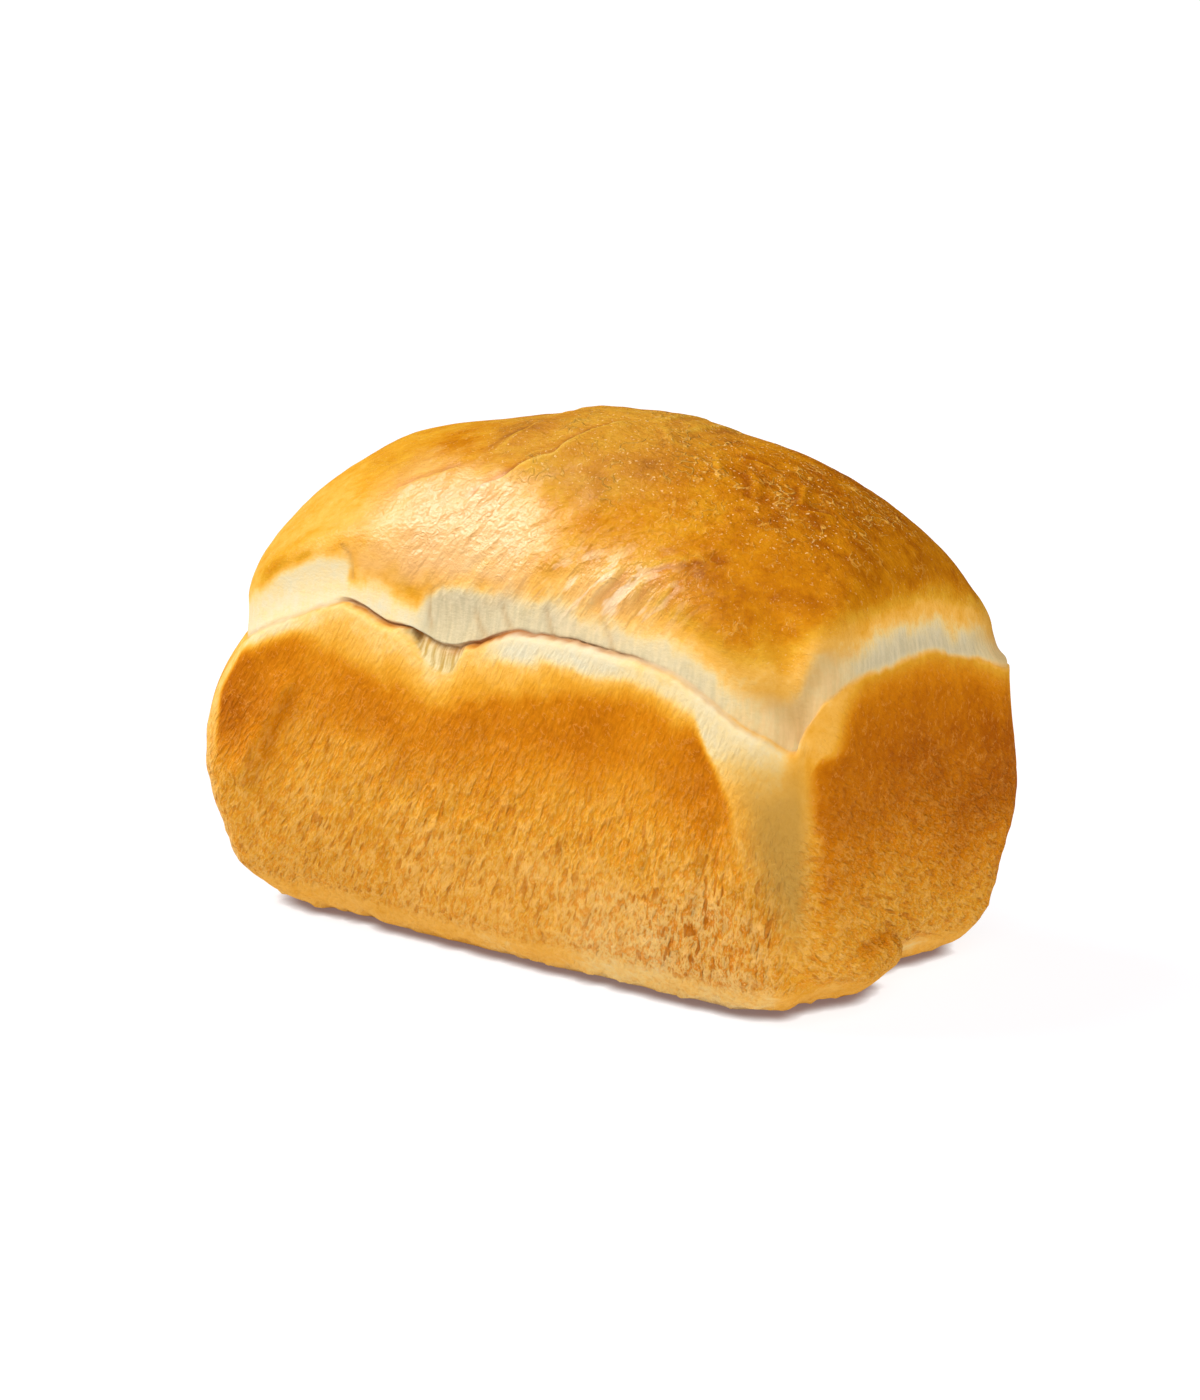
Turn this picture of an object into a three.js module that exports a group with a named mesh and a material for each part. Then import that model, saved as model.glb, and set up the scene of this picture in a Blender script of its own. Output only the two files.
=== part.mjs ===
// Tin loaf: one solid of bread baked in an oblong tin, with the crown risen over the rim.
// Millimetres, +Z up. X runs along the loaf, the -Y long side is its front and the +X end its right.
// Origin: centre of the bounding box, on the plane the base rests on.
import * as THREE from 'three';
import { mergeVertices } from 'three/addons/utils/BufferGeometryUtils.js';

// ---- driving dimensions -------------------------------------------------------------------
const HALF_LENGTH = 115;      // widest part of the walls to the middle, along the loaf
const HALF_WIDTH = 64;        // the same, across the loaf
const HEIGHT = 158.5;         // top of the plain crown, before its swells
const SEAM_HEIGHT = 86;       // where the crown leaves the tin's rim, measured at the corners
const CROWN_FOOT = 98;        // height at which the crown starts to curve over
const CORNER_RADIUS = 22;     // upright corners of the walls
const FOOT_HEIGHT = 18;       // rounding between wall and base, upwards
const FOOT_ALONG = 22;        // the same rounding, inwards at the two ends
const FOOT_ACROSS = 14;       // the same rounding, inwards at the two long sides
const CORNER_TUCK = 7;        // how much tighter the upright corners are at the base
const WALL_WIDEST = 47;       // height above which the walls roll in
const TAPER_ALONG = 6;        // draft of the tin at the ends
const TAPER_ACROSS = 11;      // draft of the tin at the long sides
const TAPER_CURVE = 1.3;
const ROLL_CURVE = 2.2;

// Each end or side: how far the wall rolls in at the seam, how far the crown is set back, and
// whether it is set back over a ledge (1) or in a plain slope (0).
const RIGHT_END = { roll: 1.5, setBack: 4, ledge: 0 };
const LEFT_END = { roll: 15.5, setBack: 12.5, ledge: 1 };
const LONG_SIDE = { roll: 2, setBack: 7, ledge: 1 };

// Fullness of the crown: 2 is an ellipse, more is squarer.
const FULLNESS_LEFT = 1.85;
const FULLNESS_RIGHT = 1.8;
const FULLNESS_ACROSS = 2.2;
const FULLNESS_UP = 1.95;
const CROWN_LEAN_X = 9;       // the crown's peak sits this far right of the middle
const CROWN_LEAN_Y = -1.5;    // and this far forward
const LEAN_TURN = 1.4;        // turn up the dome by which the whole lean is reached, radians
const ROUNDING_TURN = 0.85;   // turn up the dome by which its plan has lost its flat sides

// ---- grid ---------------------------------------------------------------------------------
const CELLS_ALONG = 40;
const CELLS_ACROSS = 22;
const ROWS = { foot: 4, wall: 9, seam: 6, crown: 7 };
const ROW_TOTAL = ROWS.foot + ROWS.wall + ROWS.seam + ROWS.crown;
const FOOT_PATH = 25;                                           // surface length of the foot
const SEAM_PATH = FOOT_PATH + SEAM_HEIGHT - FOOT_HEIGHT;        // base edge to seam
const CROWN_PATH = SEAM_PATH + CROWN_FOOT - SEAM_HEIGHT;        // base edge to crown foot
const SEAM_BAND = 8;                                            // finer rows this far each way
const DOME_PATH = 44;                                           // crown foot to the last row
const DOME_TURN = 0.3 * Math.PI / 2;                            // turn covered by those rows

// ---- helpers ------------------------------------------------------------------------------
const clamp = (x) => Math.min(Math.max(x, 0), 1);

function ramp(x, low, high) {
  const t = clamp((x - low) / (high - low));
  return t * t * (3 - 2 * t);
}

const swell = (x, middle, reach) => Math.exp(-(((x - middle) / reach) ** 2));
const mix = (from, to, share) => from + (to - from) * share;

// ---- the seam between wall and crown ------------------------------------------------------
// The seam arches up along every side and comes down to SEAM_HEIGHT at the corners.
const ARCH = 15;
const archLong = (x) => ARCH * (1 - ramp(Math.abs(x), 30, 108));
const archEnd = (y) => ARCH * (1 - ramp(Math.abs(y + 4), 6, 58));

// Up the dome the arch evens out to one lift all round, then fades towards the peak.
const EVEN_LIFT = 9;
const EVEN_TURN = 0.65;       // turn by which the arch has evened out, radians
const ARCH_FADE_TURN = 1.35;  // turn by which it has gone
const WAVE_FADE_TURN = 0.45;  // turn by which the smaller waves have gone

// Smaller waves on top of the arch: the torn edge wanders where the dough burst over the rim.
const waveFront = (x) => 8.5 * ramp(-x, 34, 58) * (1 - ramp(-x, 70, 125)) - 4 * swell(x, -12, 12)
  + (4 * ramp(x, 0, 18) + 3.4 * swell(x, 70, 18)) * (1 - ramp(x, 80, 106)) - 4 * ramp(x, 101, 112);
const waveBack = (x) => 4 * swell(x, 62, 18) - 4 * swell(x, 20, 14) + 4 * swell(x, -40, 25)
  - 4 * ramp(x, 101, 112);
const waveRight = (y) => 8 * ramp(y, -64, -50) * (1 - ramp(y, -44, -14)) + 2 * swell(y, 34, 10)
  - 4 * ramp(Math.abs(y), 57, 64);
const waveLeft = (y) => 0.7 * (1 - ramp(y, -60, -20));

// A ragged V in the wall's upper edge, left of the middle of the front.
const notch = (x) => 4.5 * ramp(x, -31, -12) * (1 - ramp(x, -8, -4));
const NOTCH_REACH = 16;       // how far below the seam the notch pulls the wall down
const NOTCH_LIP = 2.5;        // distance below the seam at which the pull is full
const NOTCH_TOP = 1.2;        // distance above the seam at which it has gone

// Depth of the crease at the seam, deepest along the left half of the front.
const creaseFront = (x) => 0.6 + 2.8 * ramp(x, -72, -50) * (1 - ramp(x, -2, 18))
  + 1.2 * ramp(x, -2, 18) * (1 - ramp(x, 45, 75));
const creaseBack = (x) => 1 + 3 * (1 - ramp(Math.abs(x), 50, 100));
const creaseLeft = (y) => 1 + 1.5 * (1 - ramp(Math.abs(y), 20, 60));
const CREASE_RIGHT = 0.3;
const CREASE_RISE = 0.3;      // the crease lies this far above the seam
const CREASE_REACH = 1.8;
const FOLLOW_DEPTH = 50;      // how far below the seam the wall still follows its course

// ---- swells and hollows -------------------------------------------------------------------
// Each pushes the crust out (or in, when negative): x, y, z, reach, push.
const SWELLS = [
  { at: [22, 0, 158], reach: 28, push: 2.4 },      // peak of the crown
  { at: [-68, 0, 140], reach: 24, push: 3.6 },     // left shoulder
  { at: [-98, -20, 112], reach: 16, push: -2.2 },  // below it, where the crown draws in
  { at: [66, 16, 146], reach: 18, push: 2 },       // right shoulder
  { at: [82, 30, 128], reach: 24, push: 0.8 },     // the same, towards the back
  { at: [106, 54, 92], reach: 16, push: 2.7 },     // right back corner of the seam
  { at: [113, 45, 52], reach: 25, push: 4.2 },     // belly of the right end
  { at: [-112, 0, 70], reach: 26, push: 0.8 },     // belly of the left end
  { at: [104, 45, 12], reach: 20, push: 3 },       // right back foot
  { at: [-92, -42, 8], reach: 18, push: -1.5 },    // left front foot, tucked under
  { at: [-60, -50, 8], reach: 16, push: -2.2 },    // front foot
  { at: [110, 8, 6], reach: 15, push: -1.2 },      // hollow beside the flap on the right end
  { at: [110, -25, 15], reach: 12, push: 2.6 },    // the flap itself
  { at: [108, -32, 0], reach: 12, push: -4.2 },    // foot under the flap
];
const SWELL_CENTRE = new THREE.Vector3(0, 0, 70);
const SWELL_RADII = new THREE.Vector3(115, 64, 85);

// Long shallow grooves, as straight runs in space: from, to, reach, depth.
const GROOVES = [
  { from: [-62, -64, 88], to: [-84, -64, 54], reach: 6, depth: 2.2 },    // slack fold of the wall
  { from: [23, -14, 158], to: [2, -45, 142], reach: 5, depth: 1.2 },     // crease over the crown
];

// ---- the form -----------------------------------------------------------------------------
// Row number along the side, counted from the base edge, to distance along the surface.
function pathOfRow(row) {
  const stops = [
    [0, 0],
    [ROWS.foot, FOOT_PATH],
    [ROWS.foot + ROWS.wall, SEAM_PATH - SEAM_BAND],
    [ROWS.foot + ROWS.wall + ROWS.seam, SEAM_PATH + SEAM_BAND],
    [ROW_TOTAL, CROWN_PATH + DOME_PATH],
  ];
  const next = Math.max(1, stops.findIndex(([count]) => row <= count + 1e-6));
  const [rowA, pathA] = stops[next - 1];
  const [rowB, pathB] = stops[next];
  return mix(pathA, pathB, (row - rowA) / (rowB - rowA));
}

// How far the side stands in from its widest line at a given height.
function insetAt(z, taper, side) {
  if (z <= SEAM_HEIGHT) {
    const below = taper * clamp(1 - z / WALL_WIDEST) ** TAPER_CURVE;
    const above = side.roll * clamp((z - WALL_WIDEST) / (SEAM_HEIGHT - WALL_WIDEST)) ** ROLL_CURVE;
    return below + above;
  }
  const t = clamp((z - SEAM_HEIGHT) / (CROWN_FOOT - SEAM_HEIGHT));
  const round = 1 - Math.sqrt(Math.max(1 - (1 - t) ** 2, 0));
  return mix(side.setBack, side.roll, mix(1 - t, round, side.ledge));
}

// A point of the unit cube's surface becomes a point of the crust.
function crustPoint(u, v, w, out) {
  const ring = Math.max(Math.abs(u), Math.abs(v));
  const a = ring > 0 ? u / ring : 0;
  const b = ring > 0 ? v / ring : 0;
  const onTop = w > 1 - 1e-6;
  const onBase = w < -1 + 1e-6;

  const path = pathOfRow((w + 1) / 2 * ROW_TOTAL);
  const footTurn = clamp(path / FOOT_PATH) * Math.PI / 2;
  const tuck = 1 - Math.sin(footTurn);
  const wallZ = path < FOOT_PATH
    ? FOOT_HEIGHT * (1 - Math.cos(footTurn))
    : Math.min(FOOT_HEIGHT + path - FOOT_PATH, CROWN_FOOT);
  let turn = clamp((path - CROWN_PATH) / DOME_PATH) * DOME_TURN;
  if (onTop) turn = Math.acos(clamp(ring * Math.cos(DOME_TURN)));

  // Half sizes of the plan at this height.
  const leftness = ramp(-a, -0.3, 0.3);
  const endInset = mix(
    insetAt(wallZ, TAPER_ALONG, RIGHT_END),
    insetAt(wallZ, TAPER_ALONG, LEFT_END),
    leftness,
  );
  let halfX = HALF_LENGTH - endInset - FOOT_ALONG * tuck;
  let halfY = HALF_WIDTH - insetAt(wallZ, TAPER_ACROSS, LONG_SIDE) - FOOT_ACROSS * tuck;
  const fullnessAlong = a < 0 ? FULLNESS_LEFT : FULLNESS_RIGHT;
  halfX *= Math.cos(turn) ** (2 / fullnessAlong);
  halfY *= Math.cos(turn) ** (2 / FULLNESS_ACROSS);
  let z = turn > 0
    ? CROWN_FOOT + (HEIGHT - CROWN_FOOT) * Math.sin(turn) ** (2 / FULLNESS_UP)
    : wallZ;

  // The plan: a rounded oblong that turns into an ellipse towards the peak.
  const corner = CORNER_RADIUS - CORNER_TUCK * tuck;
  const rounding = ramp(turn, 0, ROUNDING_TURN);
  const shrink = onBase ? ring : 1;
  const radiusX = Math.min(mix(corner, halfX, rounding), halfX) * shrink;
  const radiusY = Math.min(mix(corner, halfY, rounding), halfY) * shrink;
  halfX *= shrink;
  halfY *= shrink;
  if (onBase) z = 0;
  const coreX = THREE.MathUtils.clamp(a * halfX, radiusX - halfX, halfX - radiusX);
  const coreY = THREE.MathUtils.clamp(b * halfY, radiusY - halfY, halfY - radiusY);
  const edgeX = radiusX > 0 ? (a * halfX - coreX) / radiusX : 0;
  const edgeY = radiusY > 0 ? (b * halfY - coreY) / radiusY : 0;
  const reach = Math.hypot(edgeX, edgeY);
  const outX = reach > 0 ? edgeX / reach : 0;
  const outY = reach > 0 ? edgeY / reach : 0;
  let x = coreX + radiusX * outX;
  let y = coreY + radiusY * outY;

  // The crease and the seam's course.
  const sideX = a * HALF_LENGTH;
  const sideY = b * HALF_WIDTH;
  let arch = archLong(sideX);
  let wave = 0;
  let crease = creaseBack(sideX);
  let drop = 0;
  if (Math.abs(a) === 1) {
    arch = archEnd(sideY);
    wave = a > 0 ? waveRight(sideY) : waveLeft(sideY);
    crease = a > 0 ? CREASE_RIGHT : creaseLeft(sideY);
  } else if (b < 0) {
    wave = waveFront(sideX);
    crease = creaseFront(sideX);
    drop = notch(sideX);
  } else {
    wave = waveBack(sideX);
  }
  const aboveSeam = path - SEAM_PATH;
  if (!onTop && !onBase) {
    const depth = crease * swell(aboveSeam, CREASE_RISE, CREASE_REACH);
    x -= outX * depth;
    y -= outY * depth;
  }
  if (!onBase) {
    const follow = ramp(wallZ, SEAM_HEIGHT - FOLLOW_DEPTH, SEAM_HEIGHT);
    const lift = mix(arch, EVEN_LIFT, ramp(turn, 0, EVEN_TURN));
    z += follow * lift * (1 - ramp(turn, 0, ARCH_FADE_TURN));
    z += follow * wave * (1 - ramp(turn, 0, WAVE_FADE_TURN));
    z -= drop * ramp(aboveSeam, -NOTCH_REACH, -NOTCH_LIP) * (1 - ramp(aboveSeam, -NOTCH_LIP, NOTCH_TOP));
  }
  const lean = ramp(turn, 0, LEAN_TURN);
  return out.set(x + CROWN_LEAN_X * lean, y + CROWN_LEAN_Y * lean, z);
}

// Swells push away from the loaf's middle; grooves pull towards it.
const outward = new THREE.Vector3();
const nearest = new THREE.Vector3();
function relieve(point) {
  const onBase = point.z < 1e-6;
  for (const { at, reach, push } of SWELLS) {
    outward.copy(point).sub(SWELL_CENTRE).divide(SWELL_RADII).divide(SWELL_RADII).normalize();
    if (onBase) outward.z = 0;
    const away = Math.hypot(point.x - at[0], point.y - at[1], point.z - at[2]);
    point.addScaledVector(outward, push * swell(away, 0, reach));
  }
  for (const { from, to, reach, depth } of GROOVES) {
    const run = new THREE.Line3(new THREE.Vector3(...from), new THREE.Vector3(...to));
    run.closestPointToPoint(point, true, nearest);
    outward.copy(point).sub(SWELL_CENTRE).divide(SWELL_RADII).divide(SWELL_RADII).normalize();
    point.addScaledVector(outward, -depth * swell(point.distanceTo(nearest), 0, reach));
  }
  if (onBase) point.z = 0;
  else point.z = Math.max(point.z, 0);
}

function loafGeometry() {
  const box = new THREE.BoxGeometry(2, 2, 2, CELLS_ALONG, CELLS_ACROSS, ROW_TOTAL);
  box.deleteAttribute('normal');
  box.deleteAttribute('uv');
  const geometry = mergeVertices(box, 1e-5);
  const position = geometry.getAttribute('position');
  const point = new THREE.Vector3();
  for (let i = 0; i < position.count; i += 1) {
    crustPoint(position.getX(i), position.getY(i), position.getZ(i), point);
    relieve(point);
    position.setXYZ(i, point.x, point.y, point.z);
  }
  geometry.computeBoundingBox();
  const middle = geometry.boundingBox.getCenter(new THREE.Vector3());
  geometry.translate(-middle.x, -middle.y, -geometry.boundingBox.min.z);
  geometry.computeVertexNormals();
  return geometry;
}

const crust = new THREE.MeshStandardMaterial({ color: '#cf8228', roughness: 0.55, metalness: 0 });
crust.name = 'crust';
const loaf = new THREE.Mesh(loafGeometry(), crust);
loaf.name = 'loaf';

const part = new THREE.Group();
part.name = 'tin_loaf';
part.add(loaf);
export default part;
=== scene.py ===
# %% [markdown]
# # A tin loaf
# This lesson dresses a plain solid of a loaf as baked bread. A tin loaf has two halves with
# very different skins: walls that baked against metal, and a crown that rose free above the
# rim. Between them runs a torn seam. The plan is one fine skin in the loaf's exact form, fine
# relief on that skin, a map of how well done each place is, and one crust material that reads
# the map. First the frame: it holds the solid at its true size.

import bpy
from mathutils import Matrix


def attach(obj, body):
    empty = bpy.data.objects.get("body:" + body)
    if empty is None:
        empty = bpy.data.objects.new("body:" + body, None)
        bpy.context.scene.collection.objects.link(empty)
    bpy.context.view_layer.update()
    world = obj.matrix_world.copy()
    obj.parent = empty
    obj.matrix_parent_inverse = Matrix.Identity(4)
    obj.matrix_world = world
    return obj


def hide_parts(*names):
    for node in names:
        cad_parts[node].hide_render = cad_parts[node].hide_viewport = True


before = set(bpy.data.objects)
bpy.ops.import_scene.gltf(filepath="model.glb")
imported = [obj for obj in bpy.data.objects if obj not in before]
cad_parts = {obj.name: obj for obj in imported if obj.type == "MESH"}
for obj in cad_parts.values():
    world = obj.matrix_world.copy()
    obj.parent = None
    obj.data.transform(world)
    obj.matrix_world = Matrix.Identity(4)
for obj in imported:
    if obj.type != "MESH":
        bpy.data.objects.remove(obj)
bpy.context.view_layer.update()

# %% [markdown]
# Bread is small and its relief is fine, so this script thinks in millimetres and turns them
# into Blender's metres only when it makes an object. One number does it.

# %% Tools and units
import math

import bpy
import numpy as np
from mathutils import Vector

MM = 0.001
scene = bpy.context.scene
scene.unit_settings.system = "METRIC"

# %% [markdown]
# The camera comes before the skin, because it decides how fine the skin must be. It looks at
# one corner of the loaf from a little above the table, so that the front, the right end and
# the crown all show. A long lens a metre away keeps the near corner from swelling.

# %% Camera
VIEW_AZIMUTH = math.radians(36.3)
VIEW_ELEVATION = math.radians(14.3)
VIEW_DISTANCE = 1000
VIEW_TARGET = Vector((2.8, -4.3, 71.9))

view_from = Vector((
    math.sin(VIEW_AZIMUTH) * math.cos(VIEW_ELEVATION),
    -math.cos(VIEW_AZIMUTH) * math.cos(VIEW_ELEVATION),
    math.sin(VIEW_ELEVATION),
))
lens = bpy.data.cameras.new("view")
lens.lens = 85
lens.sensor_width = 36
lens.clip_end = 50
camera = bpy.data.objects.new("view", lens)
camera.location = (VIEW_TARGET + view_from * VIEW_DISTANCE) * MM
camera.rotation_euler = view_from.to_track_quat("Z", "Y").to_euler()
scene.collection.objects.link(camera)
scene.camera = camera
print("camera stands at", tuple(round(c, 3) for c in camera.location))

# %% [markdown]
# A few small helpers shape everything that follows. A ramp goes smoothly from 0 to 1 between
# two values, a swell is a soft bump of a given reach, and a course runs through listed pairs
# of place and amount. They could be Blender curves or fall-offs, but as plain functions they
# can be used on a hundred thousand points at once.

# %% Ramps and swells
def ramp(x, low, high):
    t = np.clip((x - low) / (high - low), 0, 1)
    return t * t * (3 - 2 * t)


def swell(x, middle, reach):
    return np.exp(-((x - middle) / reach) ** 2)


def mix(start, end, share):
    return start + (end - start) * share


def course(x, stops):
    places, amounts = zip(*stops)
    return np.interp(x, places, amounts)


print("half way up a ramp:", ramp(5, 0, 10), "and one reach from a swell:", round(swell(1, 0, 1), 2))

# %% [markdown]
# Baked dough is never even, so most of the relief is noise. Blender has noise functions, but
# they take one point at a time. This one holds a block of random numbers and blends between
# its neighbours for all points together. The cell can be longer one way than another, which
# is how a pit becomes a slit. Every block has its own seed, so each run gives the same loaf.

# %% Noise for whole arrays
BLOCK = 48


def noise(points, cell, seed):
    """Smooth noise from -1 to 1; cell is the size of one lump, in mm, along X, Y and Z."""
    table = np.random.default_rng(seed).uniform(-1, 1, (BLOCK, BLOCK, BLOCK))
    place = points / np.asarray(cell, float)
    low = np.floor(place).astype(int)
    part = place - low
    part = part * part * (3 - 2 * part)
    total = np.zeros(len(points))
    for corner in np.ndindex(2, 2, 2):
        weight = np.prod(np.where(corner, part, 1 - part), axis=1)
        at = (low + corner) % BLOCK
        total += weight * table[at[:, 0], at[:, 1], at[:, 2]]
    return total


print("noise sample:", noise(np.array([[1.0, 2.0, 3.0]]), 5, 1).round(3))

# %% [markdown]
# The skin starts as the surface of a cube cut into a grid. A cube maps onto a loaf far better
# than a sphere does: its side faces become the four walls and its top the crown, and the rows
# stay level, which lets the seam be given more rows than the rest. The base is flat, so it is
# one large face instead of a grid, and the points saved go to the walls.

# %% A grid on a cube
def cube_grid(along, across, up):
    """Points on a cube from -1 to 1, outward-facing quads, and the ring round its base."""
    steps = [np.linspace(-1, 1, n + 1) for n in (along, across, up)]
    on_skin = np.zeros((along + 1, across + 1, up + 1), bool)
    for end in (0, -1):
        on_skin[end] = True
        on_skin[:, end] = True
    on_skin[:, :, -1] = True
    where = np.argwhere(on_skin)
    number = np.zeros(on_skin.shape, int)
    number[on_skin] = np.arange(len(where))
    points = np.stack([steps[axis][where[:, axis]] for axis in range(3)], axis=1)
    quads = []
    for face, turned in (
        (number[:, :, -1], False), (number[:, 0, :], False), (number[:, -1, :], True),
        (number[0], True), (number[-1], False),
    ):
        corners = (face[:-1, :-1], face[1:, :-1], face[1:, 1:], face[:-1, 1:])
        if turned:
            corners = corners[::-1]
        quads.append(np.stack([corner.ravel() for corner in corners], axis=1))
    rim = number[:, :, 0]
    base = np.concatenate([rim[0, :-1], rim[:-1, -1], rim[-1, :0:-1], rim[:0:-1, 0]])
    return points, np.concatenate(quads), base


# %% [markdown]
# How fine should it be? A pit of the crust is 2 to 3 mm wide, so cells of about a millimetre
# can still shape it, and everything finer is left to the material. The rows lie closest at the
# seam, where the skin turns most sharply.

# %% Cells and rows of the skin
CELLS_ALONG, CELLS_ACROSS = 208, 116
ROWS = {"foot": 16, "wall": 44, "seam": 28, "crown": 28}
cube, quads, base = cube_grid(CELLS_ALONG, CELLS_ACROSS, sum(ROWS.values()))
print("skin:", len(cube), "points,", len(quads), "quads and a base of", len(base), "sides")

# %% [markdown]
# These are the loaf's own measures, the same as the solid's. The walls have the tin's draft
# below, a belly where the tin was widest, and a roll inwards under the rim. The left end rolls
# in much further than the right one, which is why the crown sits on a ledge there.

# %% Measures of the loaf, in mm
HALF_LENGTH, HALF_WIDTH, HEIGHT = 115, 64, 158.5
SEAM_HEIGHT, CROWN_FOOT, WALL_WIDEST = 86, 98, 47
CORNER_RADIUS, CORNER_TUCK = 22, 7
FOOT_HEIGHT, FOOT_ALONG, FOOT_ACROSS, FOOT_PATH = 18, 22, 14, 25
TAPER_ALONG, TAPER_ACROSS = 6, 11
RIGHT_END = {"roll": 1.5, "set_back": 4, "ledge": 0}
LEFT_END = {"roll": 15.5, "set_back": 12.5, "ledge": 1}
LONG_SIDE = {"roll": 2, "set_back": 7, "ledge": 1}
FULL_LEFT, FULL_RIGHT, FULL_ACROSS, FULL_UP = 1.85, 1.8, 2.2, 1.95
LEAN_X, LEAN_Y, LEAN_TURN, ROUNDING_TURN = 9, -1.5, 1.4, 0.85
SEAM_PATH = FOOT_PATH + SEAM_HEIGHT - FOOT_HEIGHT
CROWN_PATH = SEAM_PATH + CROWN_FOOT - SEAM_HEIGHT
SEAM_BAND, DOME_PATH, DOME_TURN = 8, 44, 0.3 * math.pi / 2
MIDDLE = np.array([0.85, 0.4, 0])

# %% [markdown]
# The seam is where the dough burst over the rim. It arches up along every side and comes down
# at the corners, with smaller waves on top. Here it is written as a few swells, one for each
# rise or dip, because that is easy to read against the real thing and to nudge.

# %% The seam's course
def arch_long(x):
    return 15 * (1 - ramp(np.abs(x), 30, 108))


def arch_end(y):
    return 15 * (1 - ramp(np.abs(y + 4), 6, 58))


def wave_front(x):
    left = 8.5 * ramp(-x, 34, 58) * (1 - ramp(-x, 70, 125))
    right = (4 * ramp(x, 0, 18) + 3.4 * swell(x, 70, 18)) * (1 - ramp(x, 80, 106))
    return left - 4 * swell(x, -12, 12) + right - 4 * ramp(x, 101, 112)


def wave_back(x):
    return (4 * swell(x, 62, 18) - 4 * swell(x, 20, 14) + 4 * swell(x, -40, 25)
            - 4 * ramp(x, 101, 112))


def wave_right(y):
    ear = 8 * ramp(y, -64, -50) * (1 - ramp(y, -44, -14))
    return ear + 2 * swell(y, 34, 10) - 4 * ramp(np.abs(y), 57, 64)


def wave_left(y):
    return 0.7 * (1 - ramp(y, -60, -20))


def notch(x):
    """The ragged V in the front wall's upper edge."""
    return 4.5 * ramp(x, -31, -12) * (1 - ramp(x, -8, -4))


# %% [markdown]
# Now the form itself. Each point knows which side of the loaf it belongs to, how far up the
# skin it is, and how far round the loaf. From the height come the half sizes of the plan, an
# oblong with round corners at the walls that turns into an ellipse towards the peak.

# %% Sides and paths
def row_path(row):
    """Row number, from the base edge up, to distance along the skin."""
    stops = np.cumsum([0, ROWS["foot"], ROWS["wall"], ROWS["seam"], ROWS["crown"]])
    paths = [0, FOOT_PATH, SEAM_PATH - SEAM_BAND, SEAM_PATH + SEAM_BAND, CROWN_PATH + DOME_PATH]
    return np.interp(row, stops, paths)


u, v, w = cube.T
ring = np.maximum(np.abs(u), np.abs(v))
side_u = u / np.maximum(ring, 1e-9)
side_v = v / np.maximum(ring, 1e-9)
on_top = w > 1 - 1e-9
on_right, on_left = side_u >= 1 - 1e-9, side_u <= -1 + 1e-9
on_front = (side_v < 0) & ~on_right & ~on_left
on_back = (side_v > 0) & ~on_right & ~on_left
on_base = w < -1 + 1e-9
side_x, side_y = side_u * HALF_LENGTH, side_v * HALF_WIDTH
AROUND_CORNER = HALF_LENGTH + HALF_WIDTH
around = np.select([on_front, on_right, on_back], [side_x, AROUND_CORNER + side_y,
                   2 * AROUND_CORNER - side_x], -AROUND_CORNER - side_y)

path = row_path((w + 1) / 2 * sum(ROWS.values()))
turn = np.clip((path - CROWN_PATH) / DOME_PATH, 0, 1) * DOME_TURN
turn = np.where(on_top, np.arccos(np.clip(ring * math.cos(DOME_TURN), 0, 1)), turn)
path = np.where(on_top, CROWN_PATH + DOME_PATH * turn / DOME_TURN, path)
above = path - SEAM_PATH
print("skin runs from", round(float(above.min())), "to", round(float(above.max())), "mm above the seam")

# %% [markdown]
# The walls follow the tin: the plan widens up to the belly and then rolls in. Above the seam a
# quarter circle makes the crown's own belly, and the dome uses powers of sine and cosine, a
# superellipse, because a risen crown is fuller than a plain ellipse. The result is the height
# of every point and the half sizes of the plan there.

# %% Heights and half sizes
def inset(z, taper, side):
    """How far a side stands in from its widest line at height z."""
    low = taper * np.clip(1 - z / WALL_WIDEST, 0, 1) ** 1.3
    high = side["roll"] * np.clip((z - WALL_WIDEST) / (SEAM_HEIGHT - WALL_WIDEST), 0, 1) ** 2.2
    t = np.clip((z - SEAM_HEIGHT) / (CROWN_FOOT - SEAM_HEIGHT), 0, 1)
    bulge = mix(side["set_back"], side["roll"], mix(1 - t, 1 - np.sqrt(1 - (1 - t) ** 2), side["ledge"]))
    return np.where(z <= SEAM_HEIGHT, low + high, bulge)


foot_turn = np.clip(path / FOOT_PATH, 0, 1) * math.pi / 2
tuck = 1 - np.sin(foot_turn)
wall_z = np.where(path < FOOT_PATH, FOOT_HEIGHT * (1 - np.cos(foot_turn)),
                  np.minimum(FOOT_HEIGHT + path - FOOT_PATH, CROWN_FOOT))
end_inset = mix(inset(wall_z, TAPER_ALONG, RIGHT_END), inset(wall_z, TAPER_ALONG, LEFT_END),
                ramp(-side_u, -0.3, 0.3))
half_x = HALF_LENGTH - end_inset - FOOT_ALONG * tuck
half_y = HALF_WIDTH - inset(wall_z, TAPER_ACROSS, LONG_SIDE) - FOOT_ACROSS * tuck
half_x = half_x * np.cos(turn) ** (2 / np.where(side_u < 0, FULL_LEFT, FULL_RIGHT))
half_y = half_y * np.cos(turn) ** (2 / FULL_ACROSS)
dome_z = CROWN_FOOT + (HEIGHT - CROWN_FOOT) * np.sin(turn) ** (2 / FULL_UP)
z = np.where(turn > 0, dome_z, wall_z)
print("half sizes reach", round(float(half_x.max()), 1), "and", round(float(half_y.max()), 1), "mm")

# %% [markdown]
# With those, each point takes its place in the plan. An inner oblong keeps the straight
# stretches, and a radius beyond it makes the corners. Up the dome the radius grows until
# nothing of the oblong is left, and so the plan turns into an ellipse.

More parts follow.
